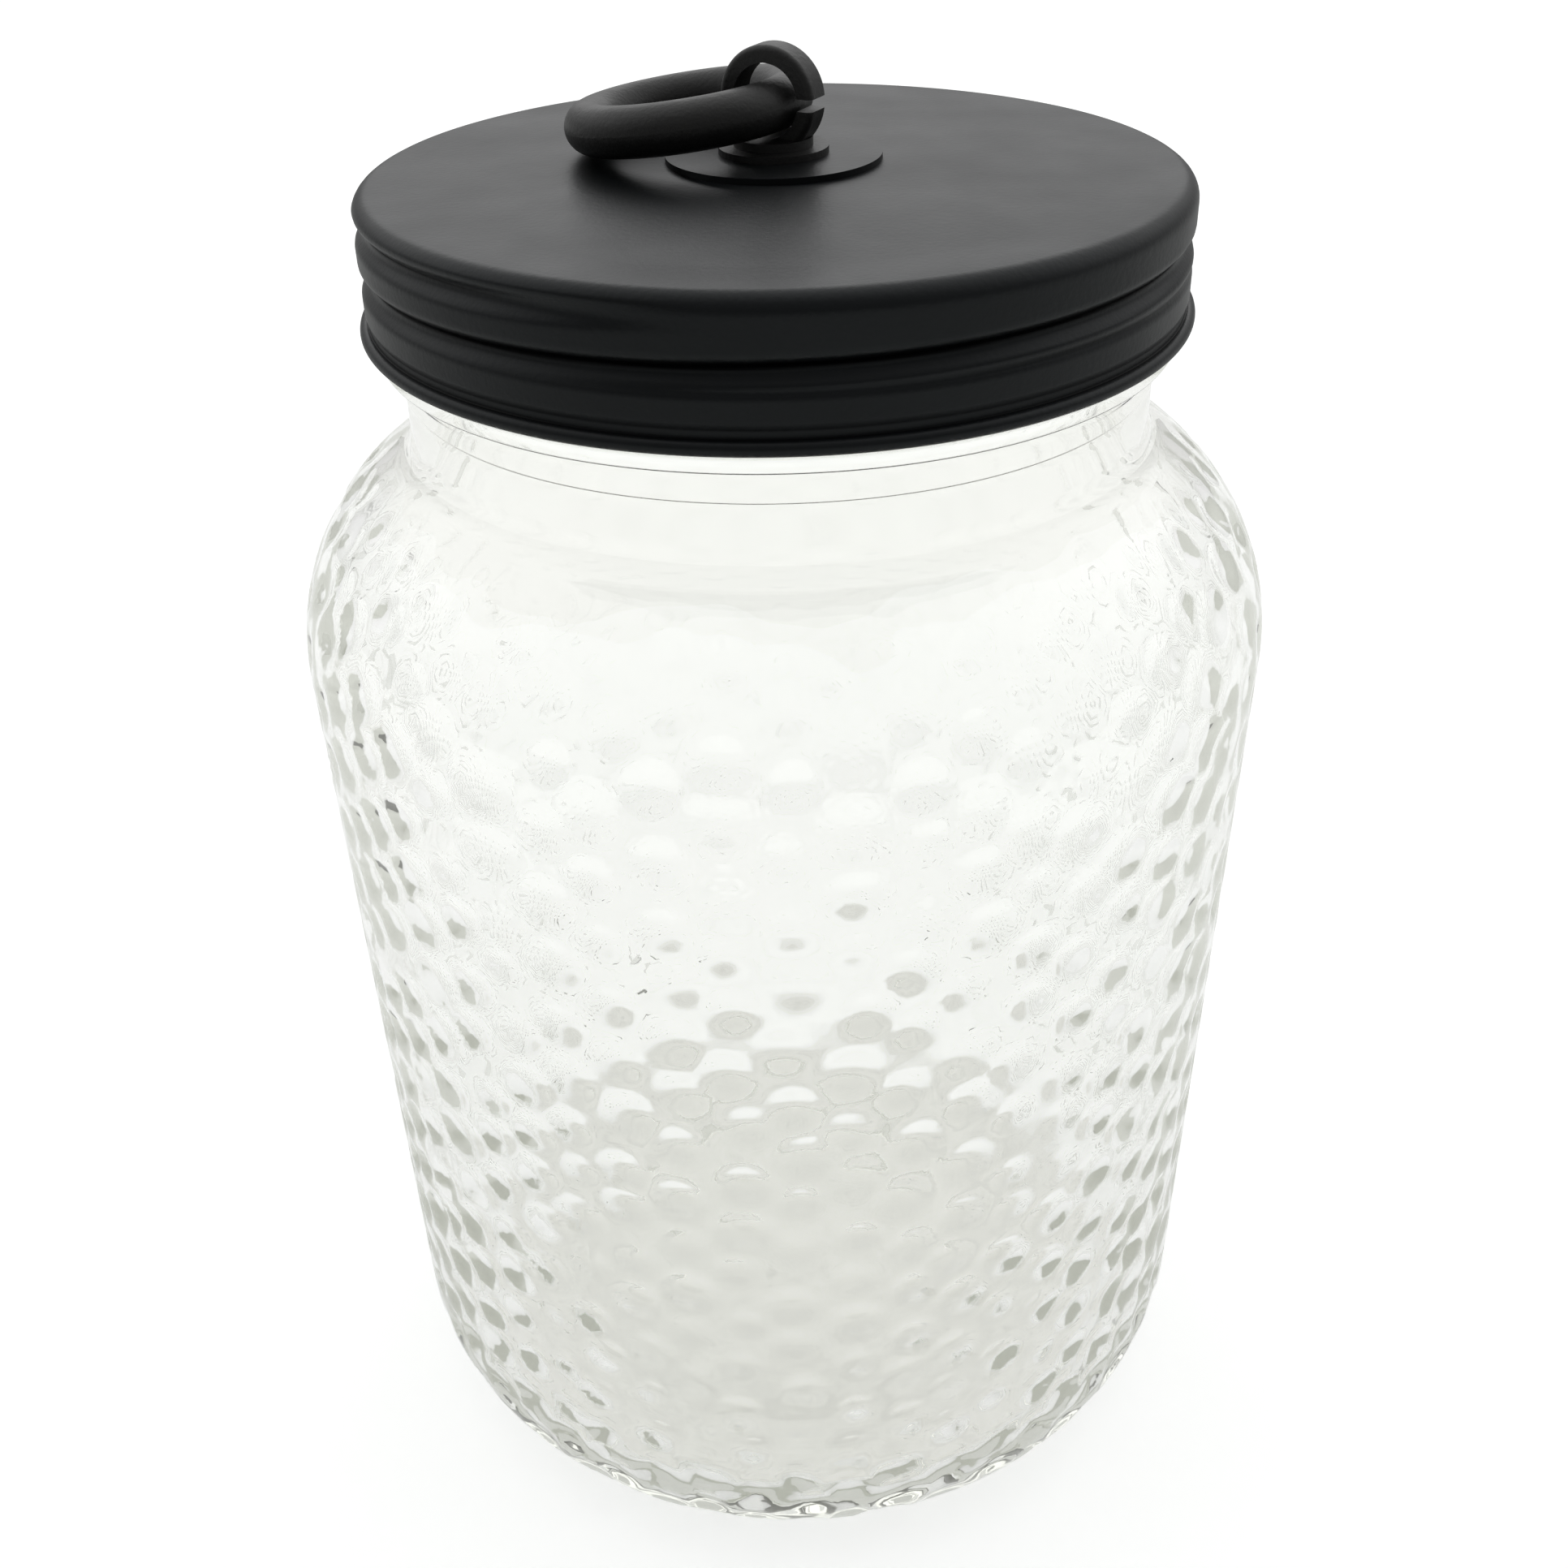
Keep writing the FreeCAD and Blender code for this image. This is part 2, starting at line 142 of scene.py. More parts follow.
# ---------------------------------------------------------------- mesh spacing
WALL_STEP = 1.25              # on the patterned wall
FLAT_STEP = 4.0               # on plain faces
SKIRT_STEP = 0.45             # on the lid's skirt
SEGMENTS = 396
SKIRT_SEGMENTS = 384
ARC_STEP = math.radians(12)   # largest turn from point to point on a round
SAME_POINT = 1e-5

# ---------------------------------------------------------------- creases of the lid's skirt, which get painted shade
CREASE_NAME = "crease"
CREASE_OVERHANG = 0.75        # what stands out over a full crease, two mesh steps above it
CREASE_CORNER = 0.25          # depth of a full crease below the middle of its neighbours


def ease(t):
    t = np.clip(t, 0.0, 1.0)
    return t * t * (3 - 2 * t)


# ---------------------------------------------------------------- outlines and lathed meshes
def rounded_path(corners, step, closed=False):
    """Points (r, z) along straight runs between corners (r, z, radius), at most step(r) apart."""
    points = [np.array(c[:2], float) for c in corners]
    count = len(points)
    stretches = []
    for i, (_, _, radius) in enumerate(corners):
        here = points[i]
        open_end = not closed and i in (0, count - 1)
        if radius == 0 or open_end:
            stretches.append([here])
            continue
        before = points[i - 1] - here
        after = points[(i + 1) % count] - here
        before /= np.linalg.norm(before)
        after /= np.linalg.norm(after)
        half = math.acos(np.clip(before @ after, -1, 1)) / 2
        centre = here + (before + after) / np.linalg.norm(before + after) * (radius / math.sin(half))
        start = here + before * (radius / math.tan(half)) - centre
        sweep = math.pi - 2 * half
        turn = math.copysign(sweep, before[1] * after[0] - before[0] * after[1])
        pieces = max(2, math.ceil(radius * sweep / step(here[0])), math.ceil(sweep / ARC_STEP))
        arc = []
        for k in range(pieces + 1):
            a = turn * k / pieces
            arc.append(centre + np.array([start[0] * math.cos(a) - start[1] * math.sin(a),
                                          start[0] * math.sin(a) + start[1] * math.cos(a)]))
        stretches.append(arc)
    path = []
    for i, stretch in enumerate(stretches):
        path += stretch
        if i == count - 1 and not closed:
            break
        a, b = stretch[-1], stretches[(i + 1) % count][0]
        runs = math.ceil(np.linalg.norm(b - a) / step((a[0] + b[0]) / 2))
        path += [a + (b - a) * k / runs for k in range(1, runs)]
    keep = [path[0]]
    for p in path[1:]:
        if np.linalg.norm(p - keep[-1]) > SAME_POINT:
            keep.append(p)
    return np.array(keep)


def along(path, closed):
    """Outward normals of a path, and the distance run to each point."""
    if closed:
        tangent = np.roll(path, -1, axis=0) - np.roll(path, 1, axis=0)
    else:
        tangent = np.gradient(path, axis=0)
    tangent /= np.linalg.norm(tangent, axis=1)[:, None]
    normal = np.stack([tangent[:, 1], -tangent[:, 0]], axis=1)
    steps = np.linalg.norm(np.diff(path, axis=0), axis=1)
    return normal, np.concatenate([[0.0], np.cumsum(steps)])


def lathe(name, path, segments, relief=None, closed=False, coarse_from=None, crease=None):
    """Closed mesh of a path turned about Z.  relief(theta, r, z, run) moves points along the normal.

    An open path starts and ends on the axis.  From the point coarse_from on, only every other
    segment is kept.  crease(radius, z, run) gives each point a value for the material."""
    normal, run = along(path, closed)
    body = slice(None) if closed else slice(1, -1)
    r, z, run = path[body, 0][:, None], path[body, 1][:, None], run[body][:, None]
    nr, nz = normal[body, 0][:, None], normal[body, 1][:, None]
    theta = np.linspace(0, 2 * math.pi, segments, endpoint=False)[None, :]
    offset = relief(theta, r, z, run) if relief else np.zeros((len(r), segments))
    radius = r + nr * offset
    verts = np.stack([radius * np.cos(theta), radius * np.sin(theta), z + nz * offset], axis=2)
    rings = len(r)
    strides = [2 if coarse_from is not None and i >= coarse_from else 1 for i in range(rings)]
    points, index = [], []
    for i, stride in enumerate(strides):
        kept = verts[i, ::stride]
        index.append(len(points) + np.arange(len(kept)))
        points.extend(kept)
    faces = []
    for i in range(rings if closed else rings - 1):
        low, high = index[i], index[(i + 1) % rings]
        if len(low) == len(high):
            quads = np.stack([low, np.roll(low, -1), np.roll(high, -1), high], axis=1)
            faces += quads.tolist()
            continue
        for j in range(len(high)):
            k = (j + 1) % len(high)
            faces.append((low[2 * j], low[2 * j + 1], high[j]))
            faces.append((low[2 * j + 1], low[2 * k], high[k], high[j]))
    if not closed:
        for ring, centre_z, flip in ((index[0], path[0, 1], True), (index[-1], path[-1, 1], False)):
            centre = len(points)
            points.append([0, 0, centre_z])
            for j in range(len(ring)):
                k = (j + 1) % len(ring)
                faces.append((centre, ring[k], ring[j]) if flip else (centre, ring[j], ring[k]))
    mesh = bpy.data.meshes.new(name)
    mesh.from_pydata((np.array(points) * MM).tolist(), [], faces)
    mesh.validate()
    mesh.shade_smooth()
    if crease:
        values = np.zeros(len(points))
        values[:radius.size] = crease(radius, z, run).ravel()
        mesh.attributes.new(CREASE_NAME, "FLOAT", "POINT").data.foreach_set("value", values)
    piece = bpy.data.objects.new(name, mesh)
    bpy.context.collection.objects.link(piece)
    return piece


def helical_rib(theta, z, start, turns, front_z, base_half, tip_half):
    """1 on the tip of a right-handed helical rib, 0 off it, running out at both ends."""
    degrees = np.degrees(theta)
    height = np.zeros(np.broadcast(theta, z).shape)
    for k in WHOLE_TURNS:
        turn = (degrees + 360 * k - start) / 360
        inside = (turn > 0) & (turn < turns)
        middle = front_z + PITCH * (degrees + 360 * k - FRONT) / 360
        across = ease((base_half - np.abs(z - middle)) / (base_half - tip_half))
        fade = ease(turn / FADE_TURNS) * ease((turns - turn) / FADE_TURNS)
        height = np.maximum(height, np.where(inside, across * fade, 0))
    return height


# ---------------------------------------------------------------- glass jar
def dimple_field(theta, r, run):
    """0 on the flat ground between the dimples, and about 1 at the bottom of each dimple."""
    rng = np.random.default_rng(SEED)
    rows = int(run.max() / DIMPLE_ROW) + SPARE_ROWS
    uneven = rng.normal(0, 1, (DIMPLES_ROUND, rows, 4)).clip(-2, 2)   # around, up, size and depth
    u = theta / (2 * math.pi) * DIMPLES_ROUND
    v = run / DIMPLE_ROW
    pitch = 2 * math.pi * r / DIMPLES_ROUND
    narrow = (r / r.max()) ** DIMPLE_NARROW
    depth = np.zeros(np.broadcast(theta, run).shape)
    for row_step in NEAR_ROWS:
        row = np.floor(v).astype(int) + row_step
        stagger = (row % 2) / 2
        for column_step in (0, 1):
            column = np.floor(u - stagger).astype(int) + column_step
            own = uneven[column % DIMPLES_ROUND, np.clip(row, 0, rows - 1)]
            size = 1 + DIMPLE_UNEVEN_SIZE * own[..., 2]
            around = (u - stagger - column) * pitch + own[..., 0] * DIMPLE_SHIFT
            up = (v - row) * DIMPLE_ROW + own[..., 1] * DIMPLE_SHIFT
            across = around / (DIMPLE_HALF_WIDTH * size * narrow)
            far = across ** 2 + (up / (DIMPLE_HALF_HEIGHT * size)) ** 2
            bottom = 1 + DIMPLE_UNEVEN_DEPTH * own[..., 3]
            depth = np.maximum(depth, bottom * np.clip(1 - far, 0, 1))
    return depth


def glass_jar():
    shoulder = JAR_HEIGHT - SHOULDER_DROP
    slope = math.tan(SHOULDER_SLOPE)
    neck_base = shoulder + (BODY_RADIUS - NECK_RADIUS) * slope
    collar_top = JAR_HEIGHT - COLLAR_TOP_DROP
    collar_bottom = collar_top - COLLAR_HEIGHT
    band_bottom = collar_bottom - NECK_BAND_HEIGHT
    inner = BODY_RADIUS - WALL
    inner_shoulder = shoulder + WALL * slope - WALL / math.cos(SHOULDER_SLOPE)
    inner_neck = inner_shoulder + (inner - MOUTH_RADIUS) * slope
    floor_top = PUSH_UP + BASE_THICKNESS
    outside = rounded_path([
        (0, PUSH_UP, 0),
        (STAND_INNER - PUSH_UP_RUN, PUSH_UP, PUSH_UP_ROUND),
        (STAND_INNER, 0, STAND_EDGE_ROUND),
        (BODY_RADIUS - BODY_TAPER, 0, HEEL_ROUND),
        (BODY_RADIUS, shoulder, SHOULDER_ROUND),
        (NECK_RADIUS, neck_base, NECK_ROUND),
        (NECK_RADIUS, band_bottom, NECK_BAND_ROUND),
        (NECK_RADIUS + NECK_BAND, band_bottom + NECK_BAND, NECK_BAND_ROUND),
        (NECK_RADIUS + NECK_BAND, collar_bottom - COLLAR_LEDGE_HEIGHT, NECK_BAND_ROUND),
        (COLLAR_RADIUS, collar_bottom, COLLAR_EDGE_ROUND),
        (COLLAR_RADIUS, collar_top, COLLAR_EDGE_ROUND),
        (FINISH_RADIUS, collar_top, COLLAR_EDGE_ROUND),
        (FINISH_RADIUS, JAR_HEIGHT - RIM_BAND, 0),
    ], lambda r: WALL_STEP if r > STAND_INNER else FLAT_STEP)
    inside = rounded_path([
        (FINISH_RADIUS, JAR_HEIGHT - RIM_BAND, 0),
        (FINISH_RADIUS, JAR_HEIGHT, RIM_OUTER_ROUND),
        (MOUTH_RADIUS, JAR_HEIGHT, RIM_INNER_ROUND),
        (MOUTH_RADIUS, inner_neck, INNER_NECK_ROUND),
        (inner, inner_shoulder, SHOULDER_ROUND - WALL),
        (inner - BODY_TAPER, BASE_THICKNESS, HEEL_ROUND - WALL),
        (STAND_INNER, BASE_THICKNESS, FLOOR_ROUND),
        (STAND_INNER - PUSH_UP_RUN, floor_top, FLOOR_ROUND),
        (0, floor_top, 0),
    ], lambda r: FLAT_STEP)
    path = np.vstack([outside, inside[1:]])
    outer_run = along(outside, False)[1][-1]
    front_z = LID_TOP - ROLL_DROP + THREAD_LIFT
    thread_top_z = JAR_HEIGHT - THREAD_BASE_HALF - THREAD_TOP_ROOM
    thread_top = FRONT + 360 * (thread_top_z - front_z) / PITCH
    thread_start = thread_top - 360 * THREAD_TURNS
    pattern_end = JAR_HEIGHT - PATTERN_TOP + PATTERN_EDGE / 2

    def relief(theta, r, z, run):
        outer = run < outer_run
        stand = ease((r - STAND_INNER - PATTERN_INSET) / PATTERN_EDGE)
        pattern = stand * ease((pattern_end - z) / PATTERN_EDGE) * outer * (r > STAND_INNER)
        hollow = DIMPLE_DEPTH * dimple_field(theta, r, run)
        thread = helical_rib(theta, z, thread_start, THREAD_TURNS, front_z, THREAD_BASE_HALF,
                             THREAD_TIP_HALF)
        on_finish = outer & (z > collar_top + COLLAR_EDGE_ROUND)
        # Uneven waves round and up the inside, which the pressing leaves there.
        wave = (np.sin(9 * theta + 0.11 * z) * np.sin(0.23 * z + 2 * np.sin(3 * theta))
                + 0.6 * np.sin(17 * theta - 0.19 * z + 1.3))
        inner_wall = ~outer & (z < inner_neck) & (z > BASE_THICKNESS + INNER_WAVE_START)
        return (-hollow * pattern + THREAD_HEIGHT * thread * on_finish
                + INNER_WAVE * wave * inner_wall)

    plain = int(np.argmax(path[:, 1] > pattern_end))
    return lathe("jar_glass", path, SEGMENTS, relief, coarse_from=plain)


# ---------------------------------------------------------------- lid
def lid_skin():
    bead_z = LID_TOP - LID_SKIRT
    neck = LID_RADIUS - NECK_IN
    neck_z = bead_z + 2 * BEAD_RADIUS
    draw_z = neck_z + BEAD_RADIUS
    pad_top = LID_TOP + DOME_RISE

    def lid_step(r):
        return SKIRT_STEP if r > LID_RADIUS - LID_RIM_ROUND else FLAT_STEP

    under = rounded_path([
        (STUD_HOLE, pad_top - SHEET, 0),
        (DOME_PAD, pad_top - SHEET, DOME_ROUND),
        (DOME_OUTER, LID_TOP - SHEET, DOME_ROUND),
        (LID_RADIUS - SHEET, LID_TOP - SHEET, LID_RIM_ROUND - SHEET),
        (LID_RADIUS - SHEET, draw_z, SKIRT_ROUND),
        (neck - SHEET, neck_z, SKIRT_ROUND),
        (neck - SHEET, bead_z, 0),
    ], lid_step)
    meet = math.degrees(math.acos((neck - LID_RADIUS) / BEAD_RADIUS))
    curl = []
    for angle in np.linspace(BEAD_START, 360 + meet, BEAD_POINTS):
        a = math.radians(angle)
        curl.append((LID_RADIUS + BEAD_RADIUS * math.cos(a), bead_z + BEAD_RADIUS * math.sin(a)))
    over = rounded_path([
        (neck, bead_z + BEAD_MEET * BEAD_RADIUS, 0),
        (neck, neck_z, SKIRT_ROUND),
        (LID_RADIUS, draw_z, SKIRT_ROUND),
        (LID_RADIUS, LID_TOP, LID_RIM_ROUND),
        (DOME_OUTER, LID_TOP, DOME_ROUND),
        (DOME_PAD, pad_top, DOME_ROUND),
        (STUD_HOLE, pad_top, 0),
    ], lid_step)
    path = np.vstack([under, curl, over])
    front_z = LID_TOP - ROLL_DROP
    skirt_top = LID_TOP - LID_RIM_ROUND
    under_length = along(under, False)[1][-1]

    def relief(theta, r, z, run):
        on_skirt = (z < skirt_top + ROLL_TOP_ROOM) & (z > bead_z + BEAD_RADIUS)
        on_skirt = on_skirt & (r > LID_RADIUS - 2 * SHEET)
        roll = helical_rib(theta, z, ROLL_START, ROLL_TURNS, front_z, ROLL_BASE_HALF, ROLL_TIP_HALF)
        band = ease((BAND_HALF - np.abs(z - LID_TOP + BAND_DROP)) / BAND_HALF)
        depth = np.maximum(ROLL_DEPTH * roll, BAND_DEPTH * band)
        inward = np.where(run < under_length, 1.0, -1.0)
        return inward * depth * on_skirt

    def crease(radius, z, run):
        """1 under each overhang of the skirt and in the corner above the rolled edge, where the paint
        gets painted shade.
        """
        above, below = np.roll(radius, -2, axis=0), np.roll(radius, 2, axis=0)
        overhang = ease((above - radius) / CREASE_OVERHANG)
        corner = ease(((above + below) / 2 - radius) / CREASE_CORNER) * (z < neck_z + 2 * BEAD_RADIUS)
        outside = (run > under_length) & (z > bead_z) & (z < skirt_top)
        return np.maximum(overhang, corner) * outside

    return lathe("lid_skin", path, SKIRT_SEGMENTS, relief, closed=True, crease=crease)


# ---------------------------------------------------------------- materials
# Heights and radii are in millimetres from the middle of the jar's base.
GLASS_INDEX = 1.5
GLASS_TINT = [(0.3, (0.975, 0.982, 0.966)), (0.7, (0.992, 0.993, 0.981))]
GLASS_TINT_NOISE = (14.0, 1.0)           # scale and detail, as for each noise below
GLASS_SHADE = (0.98, 0.985, 0.98, 1.0)   # of the lamps' light, which passes straight through
TRAPPED_SHADE = (0.88, 0.884, 0.86, 1.0)
TRAPPED_BOUNCES = 1.5                    # light that bounced more often inside the wall goes straight on
# Painted shade: greys the jar's thick base, standing in for the shadowed table under the jar.
BASE_PAINTED_SHADE = (0.93, 0.925, 0.89, 1.0)
BASE_SHADE_RADIUS = 57.0
BASE_SHADE_TOP = 12.0
NECK_TINT = (0.92, 0.92, 0.895, 1.0)
NECK_TINT_BOTTOM = 163.0
NECK_TINT_TOP = 181.2
NECK_TINT_WAVER = 6.0
NECK_TINT_NOISE = (45.0, 2.0)
COLLAR_SHADE_LINE = (0.10, 0.10, 0.10, 1.0)      # painted shade: the thin dark line under the collar's ledge
LINE_BOTTOM = 181.7
LINE_TOP = 182.08

BUMP_DEPTH = 0.0003                      # metres
PAINT = [(0.35, (0.0020, 0.0025, 0.0030)), (0.7, (0.0040, 0.0048, 0.0056))]
PAINT_NOISE = (35.0, 5.0)
PAINT_ROUGH = (0.34, 0.46)
PAINT_ROUGH_NOISE = (90.0, 4.0)
PAINT_GRAIN_NOISE = (1400.0, 2.0)
PAINT_GRAIN = 0.12
PAINT_GLOSS = 0.28
PAINT_SHEEN_TINT = (0.93, 0.98, 1.0, 1.0)
# Painted shade in the lid's creases: darker colour and weaker reflection there.
CREASE_PAINTED_SHADE = (0.0004, 0.0004, 0.0005, 1.0)
CREASE_SHADE_GLOSS = 0.01
CAST = [(0.35, (0.005, 0.005, 0.0048)), (0.75, (0.010, 0.010, 0.0095))]
CAST_NOISE = (120.0, 5.0)
CAST_ROUGH = (0.38, 0.52)
CAST_ROUGH_NOISE = (300.0, 4.0)
CAST_GRAIN_NOISE = (1800.0, 2.0)
CAST_GRAIN = 0.2
RUBBER = [(0.3, (0.52, 0.51, 0.48)), (0.7, (0.60, 0.59, 0.56))]
RUBBER_NOISE = (80.0, 3.0)
RUBBER_ROUGH = (0.5, 0.65)
RUBBER_ROUGH_NOISE = (200.0, 3.0)
ZINC = [(0.3, (0.50, 0.51, 0.52)), (0.7, (0.64, 0.64, 0.63))]
ZINC_NOISE = (150.0, 4.0)
ZINC_ROUGH = (0.28, 0.45)
ZINC_ROUGH_NOISE = (400.0, 4.0)


def new_material(name):
    material = bpy.data.materials.new(name)
    material.use_nodes = True
    tree = material.node_tree
    return material, tree, tree.nodes["Principled BSDF"]


def noise(tree, scale, detail):
    coords = tree.nodes.new("ShaderNodeTexCoord")
    texture = tree.nodes.new("ShaderNodeTexNoise")
    texture.inputs["Scale"].default_value = scale
    texture.inputs["Detail"].default_value = detail
    tree.links.new(coords.outputs["Object"], texture.inputs["Vector"])
    return texture.outputs["Fac"]


def ramp(tree, value, stops):
    node = tree.nodes.new("ShaderNodeValToRGB")
    elements = node.color_ramp.elements
    while len(elements) < len(stops):
        elements.new(0.5)
    for element, (place, colour) in zip(elements, stops):
        element.position = place
        element.color = (*colour, 1.0)
    tree.links.new(value, node.inputs["Fac"])
    return node.outputs["Color"]


def spread(tree, value, low, high):
    """low where the value is 0, high where it is 1."""
    node = tree.nodes.new("ShaderNodeMapRange")
    node.inputs["To Min"].default_value = low
    node.inputs["To Max"].default_value = high
    tree.links.new(value, node.inputs["Value"])
    return node.outputs["Result"]


def stepped(tree, value, start, end, low, high):
    """low up to start, high from end on, and a smooth step between."""
    node = tree.nodes.new("ShaderNodeMapRange")
    node.interpolation_type = "SMOOTHSTEP"
    node.inputs["From Min"].default_value = start
    node.inputs["From Max"].default_value = end
    node.inputs["To Min"].default_value = low
    node.inputs["To Max"].default_value = high
    tree.links.new(value, node.inputs["Value"])
    return node.outputs["Result"]


def maths(tree, operation, first, second):
    """Math node of two values, each a socket or a number."""
    node = tree.nodes.new("ShaderNodeMath")
    node.operation = operation
    for socket, value in zip(node.inputs, (first, second)):
        if isinstance(value, (int, float)):
            socket.default_value = value
        else:
            tree.links.new(value, socket)
    return node.outputs[0]


def coloured(tree, shader, colour, rough, rough_noise):
    """Base colour from a socket, and an uneven roughness."""
    tree.links.new(colour, shader.inputs["Base Color"])
    tree.links.new(spread(tree, noise(tree, *rough_noise), *rough), shader.inputs["Roughness"])


def grained(tree, shader, strength, grain_noise):
    node = tree.nodes.new("ShaderNodeBump")
    node.inputs["Strength"].default_value = strength
    node.inputs["Distance"].default_value = BUMP_DEPTH
    tree.links.new(noise(tree, *grain_noise), node.inputs["Height"])
    tree.links.new(node.outputs["Normal"], shader.inputs["Normal"])


def object_place(tree):
    """Sockets X, Y and Z of the place on the piece, in metres."""
    coords = tree.nodes.new("ShaderNodeTexCoord")
    parts = tree.nodes.new("ShaderNodeSeparateXYZ")
    tree.links.new(coords.outputs["Object"], parts.inputs[0])
    return parts.outputs


def within_base(tree):
    """1 on the jar's thick flat base, which gets painted shade, and 0 on its wall."""
    place = object_place(tree)
    squares = [maths(tree, "POWER", place[axis], 2.0) for axis in "XY"]
    radius = maths(tree, "POWER", maths(tree, "ADD", *squares), 0.5)
    inside = maths(tree, "LESS_THAN", radius, BASE_SHADE_RADIUS * MM)
    low = maths(tree, "LESS_THAN", place["Z"], BASE_SHADE_TOP * MM)
    return maths(tree, "MULTIPLY", inside, low)


def on_neck(tree):
    """1 on the plain neck, down to an uneven line where the blown shoulder starts."""
    height = object_place(tree)["Z"]
    waver = NECK_TINT_WAVER * MM
    uneven = spread(tree, noise(tree, *NECK_TINT_NOISE), -waver, waver)
    above = maths(tree, "GREATER_THAN", maths(tree, "ADD", height, uneven), NECK_TINT_BOTTOM * MM)
    below = maths(tree, "LESS_THAN", height, NECK_TINT_TOP * MM)
    return maths(tree, "MULTIPLY", above, below)


def under_collar(tree):
    """1 on the painted shade line along the collar's lower edge."""
    height = object_place(tree)["Z"]
    above = maths(tree, "GREATER_THAN", height, LINE_BOTTOM * MM)
    below = maths(tree, "LESS_THAN", height, LINE_TOP * MM)
    return maths(tree, "MULTIPLY", above, below)


def tinted(tree, colour, factor, tint):
    """The colour, or where factor is 1 the tint; on the base, under the collar and in the lid's creases
    this tint is painted shade.
    """
    mix = tree.nodes.new("ShaderNodeMix")
    mix.data_type = "RGBA"
    tree.links.new(factor, mix.inputs["Factor"])
    tree.links.new(colour, mix.inputs[6])
    mix.inputs[7].default_value = tint
    return mix.outputs[2]


def passing(tree, factor, surface, shade):
    """The surface, or where factor is 1 a plain pass straight through it."""
    clear = tree.nodes.new("ShaderNodeBsdfTransparent")
    clear.inputs["Color"].default_value = shade
    mix = tree.nodes.new("ShaderNodeMixShader")
    tree.links.new(factor, mix.inputs["Fac"])
    tree.links.new(surface, mix.inputs[1])
    tree.links.new(clear.outputs["BSDF"], mix.inputs[2])
    return mix.outputs["Shader"]


def clear_glass():
    material, tree, shader = new_material("clear_glass")
    shader.inputs["Transmission Weight"].default_value = 1.0
    shader.inputs["IOR"].default_value = GLASS_INDEX
    shader.inputs["Roughness"].default_value = 0.0
    tint = ramp(tree, noise(tree, *GLASS_TINT_NOISE), GLASS_TINT)
    # Painted shade on the base, for the shadowed table seen through it.
    tint = tinted(tree, tint, within_base(tree), BASE_PAINTED_SHADE)
    tint = tinted(tree, tint, on_neck(tree), NECK_TINT)
    # Painted shade: the dark line under the collar's ledge.
    tint = tinted(tree, tint, under_collar(tree), COLLAR_SHADE_LINE)
    tree.links.new(tint, shader.inputs["Base Color"])
    rays = tree.nodes.new("ShaderNodeLightPath")
    trapped = maths(tree, "GREATER_THAN", rays.outputs["Glossy Depth"], TRAPPED_BOUNCES)
    inner = passing(tree, trapped, shader.outputs["BSDF"], TRAPPED_SHADE)
    outer = passing(tree, rays.outputs["Is Shadow Ray"], inner, GLASS_SHADE)
    tree.links.new(outer, tree.nodes["Material Output"].inputs["Surface"])
    return material


def black_paint(name, creased):
    """Satin black enamel, with painted shade in the creases where the mesh has them: darker and duller
    there.
    """
    material, tree, shader = new_material(name)
    shader.inputs["Specular IOR Level"].default_value = PAINT_GLOSS
    shader.inputs["Specular Tint"].default_value = PAINT_SHEEN_TINT
    colour = ramp(tree, noise(tree, *PAINT_NOISE), PAINT)
    if creased:
        # Painted shade: the crease attribute darkens the paint and weakens its reflection.
        crease = tree.nodes.new("ShaderNodeAttribute")
        crease.attribute_name = CREASE_NAME
        colour = tinted(tree, colour, crease.outputs["Fac"], CREASE_PAINTED_SHADE)
        gloss = spread(tree, crease.outputs["Fac"], PAINT_GLOSS, CREASE_SHADE_GLOSS)
        tree.links.new(gloss, shader.inputs["Specular IOR Level"])
    coloured(tree, shader, colour, PAINT_ROUGH, PAINT_ROUGH_NOISE)
    grained(tree, shader, PAINT_GRAIN, PAINT_GRAIN_NOISE)
    return material


def black_cast():
    material, tree, shader = new_material("black_cast")
    colour = ramp(tree, noise(tree, *CAST_NOISE), CAST)
    coloured(tree, shader, colour, CAST_ROUGH, CAST_ROUGH_NOISE)
    grained(tree, shader, CAST_GRAIN, CAST_GRAIN_NOISE)
    return material


def liner_rubber():
    material, tree, shader = new_material("liner_rubber")
    colour = ramp(tree, noise(tree, *RUBBER_NOISE), RUBBER)
    coloured(tree, shader, colour, RUBBER_ROUGH, RUBBER_ROUGH_NOISE)
    return material


def zinc_steel():
    material, tree, shader = new_material("zinc_steel")
    shader.inputs["Metallic"].default_value = 1.0
    colour = ramp(tree, noise(tree, *ZINC_NOISE), ZINC)
    coloured(tree, shader, colour, ZINC_ROUGH, ZINC_ROUGH_NOISE)
    return material


def finish_with(piece, material):
    piece.data.materials.clear()
    piece.data.materials.append(material)


# ---------------------------------------------------------------- floor, light and camera
WHITE = (1.0, 1.0, 1.0, 1.0)
FLOOR_SIZE = 12.0
FLOOR_DROP = 0.0001
FLOOR_TONE = (0.80, 0.81, 0.80, 1.0)
FLOOR_ROUGH = 0.9
FLOOR_SHINE_CAMERA = 0.50      # lifts the lit floor to white where the camera sees it
FLOOR_SHINE_MIRROR = 0.30      # the same for rays that are mirrored or bent without any blur
FLOOR_SHINE_GLASS = 0.05       # the same for what is seen through the glass
FAR_SHINE_GLASS = 0.10         # the same behind the jar, from FAR_FLOOR on
FAR_FLOOR = 0.16
FAR_FLOOR_EDGE = 0.01
KEY_PLACE = (0.0, 0.9, 0.6)
KEY_TARGET = (0.0, 0.0, 0.15)
KEY_SIZE = (0.9, 0.6)
KEY_POWER = 1.0
SKY_BACK = 1.05
SKY_FRONT = 0.25
SKY_TURN = (-0.7, 0.3)         # directions, along Y, between which the front turns into the back
